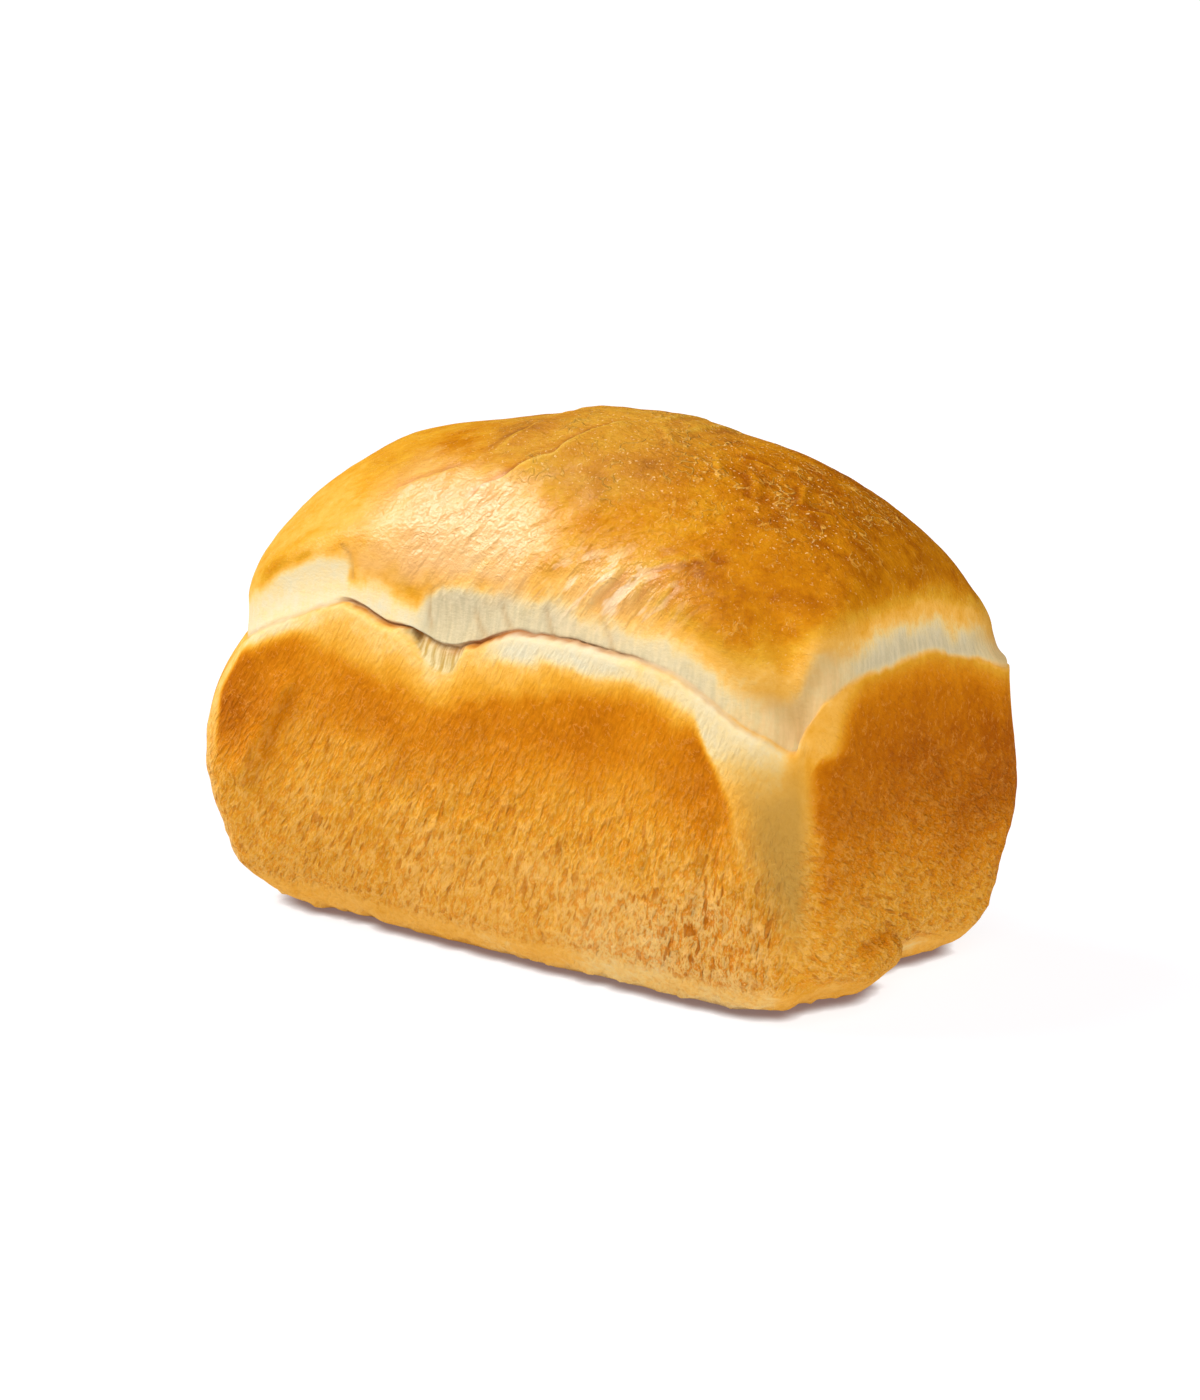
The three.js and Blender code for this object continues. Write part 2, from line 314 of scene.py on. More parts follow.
# %% Plan with round corners
corner_size = CORNER_RADIUS - CORNER_TUCK * tuck
radius_x = np.minimum(mix(corner_size, half_x, ramp(turn, 0, ROUNDING_TURN)), half_x)
radius_y = np.minimum(mix(corner_size, half_y, ramp(turn, 0, ROUNDING_TURN)), half_y)
core_x = np.clip(side_u * half_x, radius_x - half_x, half_x - radius_x)
core_y = np.clip(side_v * half_y, radius_y - half_y, half_y - radius_y)
edge_x = (side_u * half_x - core_x) / np.maximum(radius_x, 1e-9)
edge_y = (side_v * half_y - core_y) / np.maximum(radius_y, 1e-9)
edge = np.maximum(np.hypot(edge_x, edge_y), 1e-9)
out_x, out_y = edge_x / edge, edge_y / edge
x = core_x + radius_x * out_x
y = core_y + radius_y * out_y
print("walls span", round(float(np.ptp(x)), 1), "by", round(float(np.ptp(y)), 1), "mm")

# %% [markdown]
# The crease at the seam is a narrow groove. On the front it is deepest along the left half, and
# towards the near corner it nearly closes. The V on the front is a place where the wall's edge
# tore down, and the torn dough inside it lies further in, under one deeper hole. Both are
# pressed straight inwards, because a dent has its own shadow, which a dark line would not.

# %% Crease and the V
crease = np.where(on_back, 0.3 + 3.7 * (1 - ramp(np.abs(side_x), 50, 108)), 0.3)
crease = np.where(on_front, 0.5 + 2.2 * ramp(side_x, -64, -52) * (1 - ramp(side_x, -2, 14))
                  + 1.0 * ramp(side_x, -2, 14) * (1 - ramp(side_x, 45, 75)), crease)
crease = np.where(on_left, 1 + 1.5 * (1 - ramp(np.abs(side_y), 20, 60)), crease)
in_notch = np.where(on_front, ramp(side_x, -35, -27) * (1 - ramp(side_x, -4.5, -2.8)), 0)
hole = np.where(on_front, swell(side_x, -25.5, 3.2) * swell(above, -0.6, 1.3), 0)
groove = crease * swell(above, 0.3, 1.0) * (1 - 0.5 * in_notch) + 2.5 * hole
groove = groove + 1.5 * in_notch * ramp(above, -2.9, -1.9) * (1 - ramp(above, 0.4, 1.6))
x = x - out_x * groove
y = y - out_y * groove
print("crease reaches", round(float(groove.max()), 1), "mm deep")

# %% [markdown]
# Now the heights. The seam's arches and waves lift the skin near it, and the lift fades out down
# the wall and towards the peak. The wall's edge drops inside the V. On the real loaf the crown's
# belly sags over the edge of the wall, so the points just above the groove move down a little,
# which makes a true overhang. Last, the crown leans a little to the right and to the front.

# %% Lift, sag and lean
arch = np.where(on_right | on_left, arch_end(side_y), arch_long(side_x))
wave = np.select([on_front, on_back, on_right], [wave_front(side_x), wave_back(side_x),
                 wave_right(side_y)], wave_left(side_y))
lift = mix(arch, 9, ramp(turn, 0, 0.65)) * (1 - ramp(turn, 0, 1.35))
rise = ramp(wall_z, SEAM_HEIGHT - 50, SEAM_HEIGHT) * (lift + wave * (1 - ramp(turn, 0, 0.45)))
drop = np.where(on_front, notch(side_x), 0) * ramp(above, -16, -2.5) * (1 - ramp(above, -2.5, 1.2))
sag = 0.35 * crease * swell(above, 2.2, 1.6)
z = z + rise - drop - sag

lean = ramp(turn, 0, LEAN_TURN)
skin = np.stack([x + LEAN_X * lean, y + LEAN_Y * lean, z], axis=1)
print("seam rises by up to", round(float(rise.max()), 1), "mm")

# %% [markdown]
# A hand-shaped, oven-sprung loaf has lumps that no formula gives. Each is listed by its place,
# its reach and its push, outwards or, below zero, inwards.

# %% Swells
SWELLS = (
    ((22, 0, 158), 28, 2.4),       # peak of the crown
    ((-68, 0, 140), 24, 3.6),      # left shoulder
    ((-98, -20, 112), 16, -2.2),   # below it, where the crown draws in
    ((66, 16, 146), 18, 2.0),      # right shoulder
    ((82, 30, 128), 24, 0.8),      # the same, towards the back
    ((106, 54, 92), 16, 2.7),      # right back corner of the seam
    ((113, 45, 52), 25, 4.2),      # belly of the right end
    ((-112, 0, 70), 26, 0.8),      # belly of the left end
    ((104, 45, 12), 20, 3.0),      # right back foot
    ((-92, -42, 8), 18, -1.5),     # left front foot, tucked under
    ((-60, -50, 8), 16, -2.2),     # front foot
    ((110, 8, 6), 15, -1.2),       # hollow beside the flap on the right end
    ((110, -25, 15), 12, 2.6),     # the flap itself
    ((108, -32, 0), 12, -4.2),     # foot under the flap
)
print("swells:", len(SWELLS))

# %% [markdown]
# The push goes away from the middle of the loaf, which keeps the skin from folding over itself.
# Only the base is held: its points slide along the table and never leave it.

# %% Push the swells
def away_from_middle(points):
    direction = (points - (0, 0, 70)) / np.array([115, 64, 85]) ** 2
    direction /= np.linalg.norm(direction, axis=1)[:, None]
    direction[:, 2] = np.where(points[:, 2] < 1e-6, 0, direction[:, 2])
    return direction


for middle, reach, push in SWELLS:
    away = np.linalg.norm(skin - middle, axis=1)
    skin = skin + away_from_middle(skin) * (push * swell(away, 0, reach))[:, None]
skin[:, 2] = np.where(on_base, 0, np.maximum(skin[:, 2], 0))
skin = skin - MIDDLE
print("form spans", np.ptp(skin, axis=0).round(1), "mm")

# %% [markdown]
# Relief is pushed along the skin's own normals, so it needs them first. They are averaged from
# the quads, as Blender would do, but without leaving the arrays.

# %% Normals of the skin
def skin_normals(points):
    a, b, c, d = (points[quads[:, k]] for k in range(4))
    facing = np.cross(c - a, d - b)
    total = np.zeros_like(points)
    for k in range(4):
        np.add.at(total, quads[:, k], facing)
    return total / np.linalg.norm(total, axis=1)[:, None]


normals = skin_normals(skin)

# %% [markdown]
# The walls baked against metal, and steam pulled their skin into small wrinkles and pits,
# deepest in the lower half where the dough was pressed hardest. On the long sides they stand
# nearly upright and lean a little, and on the ends they lie flatter. So the points are sheared
# and squeezed before the noise reads them, and round lumps of noise come out as slits.

# %% Relief of the walls
wall = 1 - ramp(above, -6, 2)
endness = ramp(np.abs(normals[:, 0]), 0.5, 0.85)
long_lean = 0.5 - 0.0025 * skin[:, 0]
long_grain = np.stack([skin[:, 0] - long_lean * skin[:, 2], skin[:, 1], skin[:, 2] / 2.6], axis=1)
end_grain = np.stack([skin[:, 0], skin[:, 1] / 2.2, skin[:, 2] + 0.45 * skin[:, 1]], axis=1)


def grain(cell, seed):
    return mix(noise(long_grain, cell, seed), noise(end_grain, cell, seed), endness)


wrinkled = ramp(-above + 5 * noise(skin, 25, 10), 12, 40) * (1 - 0.8 * ramp(-above, 71, 76))
lumps = grain(2.9, 13) + 0.6 * grain(2.0, 14)
pits = -ramp(-grain(2.3, 15), 0.3, 0.8)
strong = 0.85 + 0.5 * np.where(on_front, swell(side_x, 86, 22) * ramp(-above, 30, 60), 0)
broad = 0.5 * noise(skin, 34, 11) + 0.25 * noise(skin, 13, 12)
DENTS = ((8, -20, 5, 12, 0.9), (52, -24, 6, 10, 0.5), (-22, -30, 6, 9, 0.5), (84, -44, 4, 16, 0.8))
for dent_x, dent_above, half_wide, half_tall, deep in DENTS:
    far = np.hypot((side_x - dent_x) / half_wide, (above - dent_above) / half_tall)
    broad = broad - np.where(on_front, deep * swell(far, 0, 1), 0)
wall_relief = wall * wrinkled * strong * (0.42 * lumps + 0.6 * pits)

# %% [markdown]
# Where skin has slid over skin there is a pleat: a small step with a slow slope behind it. One
# function makes any of them from two end points, a height and the length of the slope. It also
# gives the pleat's rim, a paler line along its edge and a darker one beside it, which is partly
# the skin's own tone and partly painted highlight and shade. A little noise bends them all, so
# that none looks ruled.

# %% One pleat
bend = 1.3 * noise(skin, 8, 61) + 0.5 * noise(skin, 3, 62)


def pleat(start, end, tall, slope, sharp=0.7):
    """A step up to the left of the way from start to end, fading out behind, and its rim of partly painted
    light and shade.
    """
    start, end = np.array(start, float), np.array(end, float)
    middle, half = (start + end) / 2, np.linalg.norm(end - start) / 2
    forward = (end - start) / (2 * half)
    out = normals[np.argmin(np.linalg.norm(skin - middle, axis=1))]
    left = np.cross(out, forward)
    from_middle = skin - middle
    ahead, aside = np.abs(from_middle @ forward) / half, from_middle @ left + bend
    near = (1 - ramp(ahead, 0.55, 1.15)) * (1 - ramp(np.abs(from_middle @ out), 5, 9))
    step = tall * near * ramp(aside, -sharp, sharp) * (1 - ramp(aside, sharp, slope))
    rim = swell(aside, 0.7 * sharp, 0.9) - 0.8 * swell(aside, -1.8 * sharp, 1.5)
    return np.stack([step, abs(tall) * near * rim])


# %% [markdown]
# Here they are, one by one. Each row holds where it starts, where it ends, how tall it is, how
# long its slope is and, where it isn't the usual 0.7, how softly it steps, all in mm. A tall
# below zero is a crack instead of a step.

# %% Pleats, one by one
PLEATS = (
    ((18, -10, 159), (6, -33, 152), 1.5, 12),         # long crease down from the peak
    ((9, -30, 154), (-14, -49, 138), 1.3, 10),
    ((12, -22, 157), (-4, -38, 149), 0.5, 6),         # a second one beside it
    ((-1, 9, 159), (-16, -32, 151), 1.4, 18, 1.8),    # shallow valley left of the peak
    ((26, -8, 159), (28, 22, 158), 0.8, 16, 1.4),     # two steps down to the right of it
    ((36, -10, 157), (39, 19, 156), 0.8, 16, 1.4),
    ((-22, -38, 145), (-45, -44, 138), 0.9, 7),       # ridge on the left shoulder
    ((-89, -65, 42), (-78, -65, 60), 2.3, 12, 1.2),   # slack fold of the left front wall
    ((-81, -65, 56), (-66, -64, 80), 1.9, 12, 1.2),
    ((-14, -44, 142), (-5, -45, 141), 0.8, 4),        # lifted edge in the sheen
    ((40, -58, 116), (50, -54, 128), 0.8, 4),         # lifted edges lower on the front
    ((52, -56, 117), (58, -54, 126), 0.7, 3),
    ((62, -56, 116), (66, -53, 125), 0.6, 3),
    ((54, -54, 127), (78, -41, 132), 0.8, 9),         # soft fold on the right of the front
    ((61, -13, 149), (69, -22, 144), 0.9, 4, 0.6),    # curled scraps right of the peak
    ((75, -6, 147), (81, -15, 142), 0.9, 4, 0.6),
    ((88, -9, 140), (82, -17, 141), 0.8, 3, 0.6),
    ((66, -6, 150), (54, -8, 152), 0.8, 4, 0.6),
    ((48, -12, 154), (57, -20, 150), 0.7, 4, 0.6),
    ((28, -8, 158), (38, -20, 155), 0.7, 5, 0.6),
    ((112, -57, 84), (115, -34, 80), 0.8, 8),         # step under the ear of the right end
    ((88, -63, 64), (83, -63, 56), -1.1, 3),          # cracks in the wall beside the corner
    ((82, -63, 52), (79, -63, 45), -1.2, 3),
    ((77, -63, 40), (76, -62, 32), -1.0, 3),
)
pleats, rims_and_painted_light = sum(pleat(*each) for each in PLEATS)
print("hand-placed pleats:", len(PLEATS), "up to", round(float(pleats.max()), 2), "mm")

# %% [markdown]
# In the stretched band above the seam the soft skin buckled into a few upright folds. Each is a
# thin bent groove. It is drawn on the unrolled skin, as a run of places around and above, which
# is far easier than finding the same places in space.

# %% Buckled folds of the band
FOLDS = (
    ((-16, 21), (-19.5, 17), (-21.5, 12), (-21, 7), (-19.5, 4)),
    ((-2, 9), (0, 5), (3, 2.5)),
    ((9, 8), (10, 5), (13, 2)),
    ((25, 7), (27, 3), (29, 0.8)),
    ((46, 7), (48, 4), (50, 1)),
    ((-60, 24), (-55, 14), (-54, 7)),
)
fold = np.zeros(len(skin))
for run in FOLDS:
    for (start_a, start_b), (end_a, end_b) in zip(run, run[1:]):
        length = math.hypot(end_a - start_a, end_b - start_b)
        share = (around - start_a) * (end_a - start_a) + (above - start_b) * (end_b - start_b)
        share = np.clip(share / length ** 2, 0, 1)
        gap = np.hypot(around - mix(start_a, end_a, share), above - mix(start_b, end_b, share))
        fold = np.maximum(fold, swell(gap, 0, 0.8))
print("folds touch", int((fold > 0.5).sum()), "points")

# %% [markdown]
# The crown rose in open air, and its skin isn't the same all over. Four maps say where each
# kind of it sits, and both the mesh and the material will read them: the sheen, a tight glossy
# stretch on the left of the front where the key light's gloss falls, a few pale strokes beside
# it, leaning streaks, and the crinkled, flaky skin round the peak and to its right. The sheen
# and the strokes also carry a painted highlight in the colour. Noise frays the edges of the
# sheen.

# %% Kinds of skin on the crown
crown = 1 - wall
x_mm, y_mm, height = skin.T
edge_noise = 5 * noise(skin, 9, 51) + 2.5 * noise(skin, 3, 52)
sheen = ramp(x_mm + edge_noise, -62, -40) * (1 - ramp(x_mm + edge_noise, 2, 32))
sheen = sheen * ramp(height + edge_noise, 110, 122) * (1 - ramp(height + edge_noise, 136, 148))
highlight_strokes = swell(np.linalg.norm((skin - (44, -56, 120)) / (1.6, 1, 0.8), axis=1), 0, 11)
sheen = sheen * (0.45 + 0.55 * ramp(x_mm, -50, -18))
sheen = np.where(y_mm < 0, np.maximum(sheen, 0.7 * highlight_strokes), 0) * crown
streaky = np.where(y_mm < -20, ramp(height, 106, 116) * (1 - ramp(height, 138, 150)), 0)
streaky = streaky * ramp(x_mm, -50, -20) * (1 - ramp(x_mm, 66, 88)) * crown + 0.8 * highlight_strokes
flaky = ramp(height + 0.16 * x_mm + 3 * noise(skin, 14, 26), 142, 156) + 0.28 * crown
flaky = np.clip(flaky, 0, 1) * ramp(above, 12, 24)
print("sheen covers", int((sheen > 0.5).sum()), "points, flaky skin", int((flaky > 0.5).sum()))

# %% [markdown]
# Flaky skin has shallow wrinkles that run along the loaf, so their noise has cells far longer
# in X. Streaks lean with the pull of the rising dough, so their points are sheared first. The
# buckled folds of the band join in here as grooves half a millimetre deep.

# %% Relief of the crown
wrinkles = noise(skin, (18, 3.4, 3.4), 21) + 0.6 * noise(skin, (9, 2.6, 2.6), 22)
wrinkles = wrinkles + 0.6 * noise(skin, (5, 2.2, 2.2), 25)
leaning = skin - np.outer(skin[:, 2], (0.7, 0, 0))
streaks = noise(leaning, (2.4, 9, 9), 23) + 0.6 * noise(leaning, (4.5, 9, 14), 24)
crown_relief = crown * (0.26 * flaky * wrinkles + 0.26 * streaky * streaks) - 0.5 * fold
print("crown relief reaches", round(float(crown_relief.max()), 2), "mm")

# %% [markdown]
# Low on the right end a flap of dough lies over the wall, with a sharp step at its end. It is
# drawn on the unrolled end, where across is the way from front to back and above is measured
# up from the seam. The skin just above the flap is drawn in a little, and the hollow beyond
# its tip is pale, because it was covered for long.

# %% Flap on the right end
FLAP_FOLD = -65
fold_line = FLAP_FOLD - 3 * ramp(side_y, -15, -7) - 2 * (1 - ramp(side_y, -42, -28))
flap_tip = -9 + 0.7 * np.clip(FLAP_FOLD - above, 0, 14)
from_tip = side_y - flap_tip
flap = ramp(fold_line - above, -0.8, 1.2) * (1 - ramp(from_tip, -1.2, 0.6)) * ramp(side_y, -48, -28)
flap = np.where(on_right, flap * (1 - ramp(-above, 84, 92)), 0)
under_fold = swell(above - fold_line, 1.0, 1.5) * ramp(side_y, -38, -28) * (1 - ramp(from_tip, 0, 2))
under_fold = np.where(on_right, under_fold, 0)
hollow = np.where(on_right, ramp(from_tip, -0.6, 1.2) * (1 - ramp(from_tip, 14, 30)), 0)
hollow = hollow * swell(above, -79, 7)
flap_relief = 2.4 * flap - 0.6 * under_fold - 2.2 * hollow
print("flap covers", int((flap > 0.5).sum()), "points")

# %% [markdown]
# The lip of the wall frayed as it tore, so the skin next to the crease gets its own quick noise
# up and down, stronger inside the V. The corner at the back right is filled out above the
# seam, and the base edge is a little uneven. The base itself stays truly flat, because the loaf
# stands on it. Then all the relief is added up, and each point moves along its normal.

# %% Fray the lip and move the skin
off_base = ramp(height, 0.2, 3)
fray = swell(above, -0.6, 1.6) * noise(skin, (1.9, 1.9, 9), 31) * (0.45 + 0.8 * in_notch)
fray = fray + swell(above, 0.3, 3) * (1 - in_notch) * 0.5 * noise(skin, (5, 5, 30), 32)
corner_fill = 1.3 * swell(above, 2.5, 2.5) * ramp(x_mm, 85, 105) * ramp(y_mm, 30, 50)
foot_edge = 1.1 * swell(height, 3, 4) * (noise(skin, (4, 4, 8), 33) + 0.5 * noise(skin, (2, 2, 4), 34))
large_relief = broad + pleats + flap_relief + corner_fill
relief = off_base * (wall_relief + crown_relief + foot_edge + large_relief)
skin = skin + normals * relief[:, None]
skin[:, 2] += off_base * fray
skin[:, 2] = np.where(on_base, 0, np.maximum(skin[:, 2], 0))
print("relief runs from", round(float(relief.min()), 2), "to", round(float(relief.max()), 2), "mm")

# %% [markdown]
# Colour in a crust is heat. Instead of painting colours, the skin gets one number per point:
# how well done it is, from 0 for pale crumb to 1 for deep brown. It is easiest to say on the
# unrolled walls. Each wall has a browned panel, darkest a little below its top edge and paler
# towards the base. Two courses hold that, as pairs of mm below the seam and how well done.

# %% How well done the walls are
wander = noise(skin, 9, 41) + 0.5 * noise(skin, 4, 42)
below = -above
on_end = on_right | on_left
corner_gap = np.where(on_end, HALF_WIDTH - np.abs(side_y), HALF_LENGTH - np.abs(side_x))
LONG_DONE = ((0, 0.78), (12, 0.82), (22, 0.82), (30, 0.68), (40, 0.55), (52, 0.47), (66, 0.47), (76, 0.43))
END_DONE = ((0, 0.6), (4, 0.74), (9, 0.88), (18, 0.95), (29, 0.92), (38, 0.78), (50, 0.63), (62, 0.56),
            (78, 0.46))
long_done = course(below, LONG_DONE)
end_done = course(below, END_DONE)
end_done = end_done + 0.14 * ramp(side_y, 0, 25) * ramp(below, 28, 38) * (1 - ramp(below, 50, 64))
front_extra = 0.13 * (1 - ramp(side_x, -96, -66)) * (1 - ramp(below, 26, 44))
front_extra = front_extra - 0.11 * ramp(side_x, 5, 50) * ramp(below, 38, 56)
long_done = long_done + np.where(on_front, front_extra, 0)
done_wall = np.where(on_end, end_done, long_done) + 0.07 * noise(skin, 20, 43)
print("panels run from", round(float(done_wall.min()), 2), "to", round(float(done_wall.max()), 2))

# %% [markdown]
# Above the panel lies the lip, where the wall tore free of the tin's heat. It is cream on the
# right half of the front and honey on the left. From the lip the colour deepens in two steps, a
# slow one and a quick one, because the panel's top edge is soft and still easy to see.

# %% Lip and top edge of the panels
PANEL_TOP = ((-115, 6), (-70, 7), (-58, 11), (-40, 13), (-8, 14), (18, 14), (34, 10), (82, 10), (92, 14))
front_top = course(side_x, PANEL_TOP)
panel_top = np.select([on_front, on_back], [front_top, 9 + 3 * noise(skin, 30, 44)], 1)
lip_done = np.where(on_front, mix(0.33, 0.02, ramp(side_x, 0, 16)), 0.3)
lip_done = np.where(on_front, mix(lip_done, 0.2, ramp(np.abs(side_x + 8), 54, 76)), lip_done)
lip_done = mix(lip_done, 0.36, 0.8 * ramp(below + 0.8 * wander, 4.5, 8.5))
lip_done = np.where(on_end, 0.5, lip_done)
share = 0.5 * ramp(below + 1.2 * wander, 0.3 * panel_top, panel_top)
share = share + 0.5 * ramp(below + 1.2 * wander, panel_top - 2.5, panel_top + 3)
done_wall = mix(lip_done, done_wall, share)
print("panels start", round(float(front_top.min()), 1), "to", round(float(front_top.max()), 1), "mm down")

# %% [markdown]
# The panels stop short of the corners, which stayed pale where two walls shielded each other.
# The stripe is wide at the top, where the crown bulged over it, and narrows down the wall. It is
# cream next to the seam and turns a dull straw further down, which needs a map of its own.

# %% Pale corners
PANEL_SIDE = ((0, 37), (9, 33), (20, 24), (31, 22), (38, 18), (48, 14), (62, 10), (76, 6))
wide = course(below, PANEL_SIDE) * ramp(side_x, 0, 60) + 14 * ramp(-side_x, 0, 60)
wide = np.where(on_end, 11 + 2.5 * noise(skin, 18, 46), wide) + 1.4 * wander
soft_edge = np.where(on_end, 4.5, 2 + 2.5 * ramp(below, 24, 50))
wide = wide + np.where(on_end, 1.3 * noise(skin, (6, 3, 1.6), 47), 0)
in_stripe = 1 - ramp(corner_gap, wide - soft_edge, wide + soft_edge)
STRAW_FROM, STRAW_FULL = 90, 65
straw = 1 - ramp(height + 3 * wander, STRAW_FULL, STRAW_FROM)
stripe_done = mix(np.where(on_end, 0.42, 0.12 + 0.3 * (1 - ramp(corner_gap, 0, 8))), 0.5, straw)
left_corner = ramp(-side_x, 0, 60) * np.where(on_end, 0, 1)
stripe_done = mix(stripe_done, 0.36, left_corner)
done_wall = mix(done_wall, stripe_done, in_stripe)
deep_inside = 1 - np.where(on_end, ramp(corner_gap, 0, 12), ramp(corner_gap, wide - 15, wide + 2))
dull = straw * deep_inside * (1 - left_corner) * ramp(height, 16, 46) * wall
print("pale corners cover", int((in_stripe * wall > 0.5).sum()), "points")

# %% [markdown]
# Two more places differ on the right end: the ear, a honey scrap of dough at its top front
# corner, and the pale hollow beyond the flap. The fold just above the flap is painted darker,
# as painted shade in the crease.

# %% Ear and hollow
ear_foot = -12.5 - 0.25 * (side_y + 54)
ear = np.where(on_right, ramp(side_y, -58, -54) * (1 - ramp(side_y - 0.8 * above, -42, -26)), 0)
ear_soft = 0.8 + 6 * ramp(side_y, -50, -34)
ear = ear * ramp(above, ear_foot - ear_soft, ear_foot + ear_soft)
done_wall = mix(done_wall, 0.44, 0.92 * ear)
done_wall = mix(done_wall, 0.33, np.clip(hollow * 1.3, 0, 1))
# Darker along the fold just above the flap: painted shade.
done_wall = done_wall + 0.05 * flap + 0.28 * under_fold
dull = dull * (1 - ear)
print("walls run from", round(float(done_wall.min()), 2), "to", round(float(done_wall.max()), 2))

# %% [markdown]
# Above the seam runs a pale band of dough that stretched last and met the heat late. Its upper
# edge wanders, so it is given as a course of mm above the seam. Next to the corner at the right
# front the band is a little better done.

# %% Pale band above the seam
FRONT_BAND = ((-115, 12), (-96, 10), (-84, 16), (-69, 17), (-63, 13), (-52, 7), (-38, 5.5), (-26, 4.5),
              (-21, 11), (-16, 18), (-10, 19), (0, 15), (12, 10), (20, 7), (70, 4), (88, 5),
              (98, 9), (108, 14), (115, 16))
END_BAND = ((-64, 16), (-56, 14), (-46, 10), (-36, 7), (0, 6), (25, 6.5), (40, 9), (64, 11))
band_top = np.select([on_front, on_right], [course(side_x, FRONT_BAND), course(side_y, END_BAND)], 8)
over_band = above - band_top
baked = ramp(over_band + 2.2 * wander, -4, 7)
near_corner = np.where(on_front | on_right, ramp(side_x, 0, 60), 0) * (1 - ramp(corner_gap, 14, 40))
in_band = 0.03 + 0.31 * near_corner + 0.06 * ramp(-side_x, 50, 70)
done_crown = mix(in_band, 0.38, baked)
print("band is", round(float(band_top.min()), 1), "to", round(float(band_top.max()), 1), "mm high")

# %% [markdown]
# Above the band the crust is golden on the left and towards the peak, and a deep amber on the
# right. So it is a sum of slow ramps, along the loaf and upwards, which all start above the
# band.

# %% From the band to amber
done_crown = done_crown + 0.2 * ramp(x_mm, -70, -20) * ramp(over_band, 6, 28)
done_crown = done_crown + 0.05 * ramp(-x_mm, 45, 75) * ramp(over_band, 4, 20)
done_crown = done_crown + 0.24 * ramp(x_mm + 8 * wander, 12, 84) * ramp(over_band, 2, 24)
done_crown = done_crown + mix(0.15, 0.07, ramp(x_mm, -50, 10)) * ramp(height, 126, 146)
print("crown runs from", round(float(done_crown.min()), 2), "to", round(float(done_crown.max()), 2))

# %% [markdown]
# Single blots stand for spots that caught more heat or less, and the first one near the peak
# also darkens the shallow valley left of it, partly browner crust and partly painted shade. Those
# low down are placed on the unrolled skin, those near the peak in space, each with a reach and a
# strength. Under the sheen and the strokes the crust is made paler, honey, as painted highlight
# beneath the gloss. Then the seam decides for each point: wall below it, crown above.

# %% Blots, and walls and crown together
LOW_BLOTS = (
    (-54, 7, 2.6, 0.3), (-34, 17, 9, 0.14), (-30, 12, 6, 0.1), (-46, 29, 4, 0.2),
    (-92, 22, 8, 0.3), (-76, 21, 4, 0.2), (-58, 22, 3, 0.14), (12, 24, 5, 0.08),
)
TOP_BLOTS = (
    # The first blot darkens the shallow valley left of the peak: partly browner crust, partly painted
    # shade.
    ((-12, -20, 155), 10, 0.2), ((34, -28, 152), 12, 0.04), ((2, -34, 151), 7, -0.08),
    ((-44, -24, 148), 9, 0.1), ((60, -34, 142), 9, -0.08), ((60, -46, 133), 6, -0.12),
)
for blot_around, blot_above, reach, amount in LOW_BLOTS:
    far = np.hypot(around - blot_around, above - blot_above)
    done_crown = done_crown + amount * swell(far, 0, reach)
for blot, reach, amount in TOP_BLOTS:
    done_crown = done_crown + amount * swell(np.linalg.norm(skin - blot, axis=1), 0, reach)
# Paler, honey crust under the sheen and the strokes: a painted highlight beneath the gloss.
done_crown = mix(done_crown + 0.04 * crown, 0.38, 0.8 * sheen)
over_seam = np.where(on_end, ramp(above + 1.2 * wander, -1, 2.5), above > 0.3)
done = mix(done_wall, done_crown, over_seam) + 0.03 * wander
done = np.clip(done, 0, 1)
print("crust runs from", round(float(done.min()), 2), "to", round(float(done.max()), 2))

# %% [markdown]
# Two kinds of place aren't only paler or browner but lack the warm tint. The band is greyish
# on the right of the front, on the right end and, more weakly, on the sides behind. Duller
# than the rest are the flaky skin of the peak and left of it, and the crown over the near corner.

# %% Grey and dull places
grey_reach = np.where(on_front, ramp(side_x, -34, -18), np.where(on_right, 1, 0.4))
grey = np.where(on_end, over_seam, ramp(above, 0.2, 1.2)) * (1 - ramp(over_band + 2.2 * wander, -4, 5))
grey = grey * grey_reach * (1 - 0.3 * near_corner)
dull = dull + 0.5 * np.clip(flaky - 0.3, 0, 1) * (1 - ramp(x_mm, 30, 60))
over_corner = near_corner * crown * ramp(above, 4, 11) * (1 - ramp(above, 14, 30))
dull = np.clip(dull + 0.45 * over_corner, 0, 1)
print("grey covers", int((grey > 0.5).sum()), "points, dull", int((dull > 0.5).sum()))

# %% [markdown]
# Two thin marks need maps of their own: the torn dough inside the V, and the dark line in the
# crease, partly the crease's browner skin and partly painted shade, darkest where the crown hangs
# over the wall and fading to a scratch further right.

# %% Tear and seam line
torn_to = mix(-0.8, -2.8, ramp(side_x, -34, -16))
torn = in_notch * ramp(above, torn_to - 0.4, torn_to + 0.4) * (1 - ramp(above, 0.6, 1.4))
LINE_ALONG = ((-115, 0.3), (-62, 0.4), (-52, 0.9), (-28, 1), (-22, 0.4), (-6, 0.6), (0, 1), (14, 0.9),
              (50, 0.7), (64, 0.45), (100, 0.35), (108, 0.1))
line = np.where(on_front, course(side_x, LINE_ALONG), np.where(on_right, 0.03, 0.5))
line_width = 0.7 + 0.6 * np.where(on_front, swell(side_x, 4, 9), 0)
line = line * swell(above, 0.35 + 0.3 * noise(skin, 3, 45), line_width)
print("torn dough covers", int((torn > 0.5).sum()), "points")

# %% [markdown]
# The arrays become one mesh. Each map goes in as a named attribute, which the material can
# read on the very same points, and which stays with the loaf wherever it goes. Two of them,
# around and above, are simply the place on the unrolled skin. With those the material can draw
# lines far thinner than the mesh's own cells.

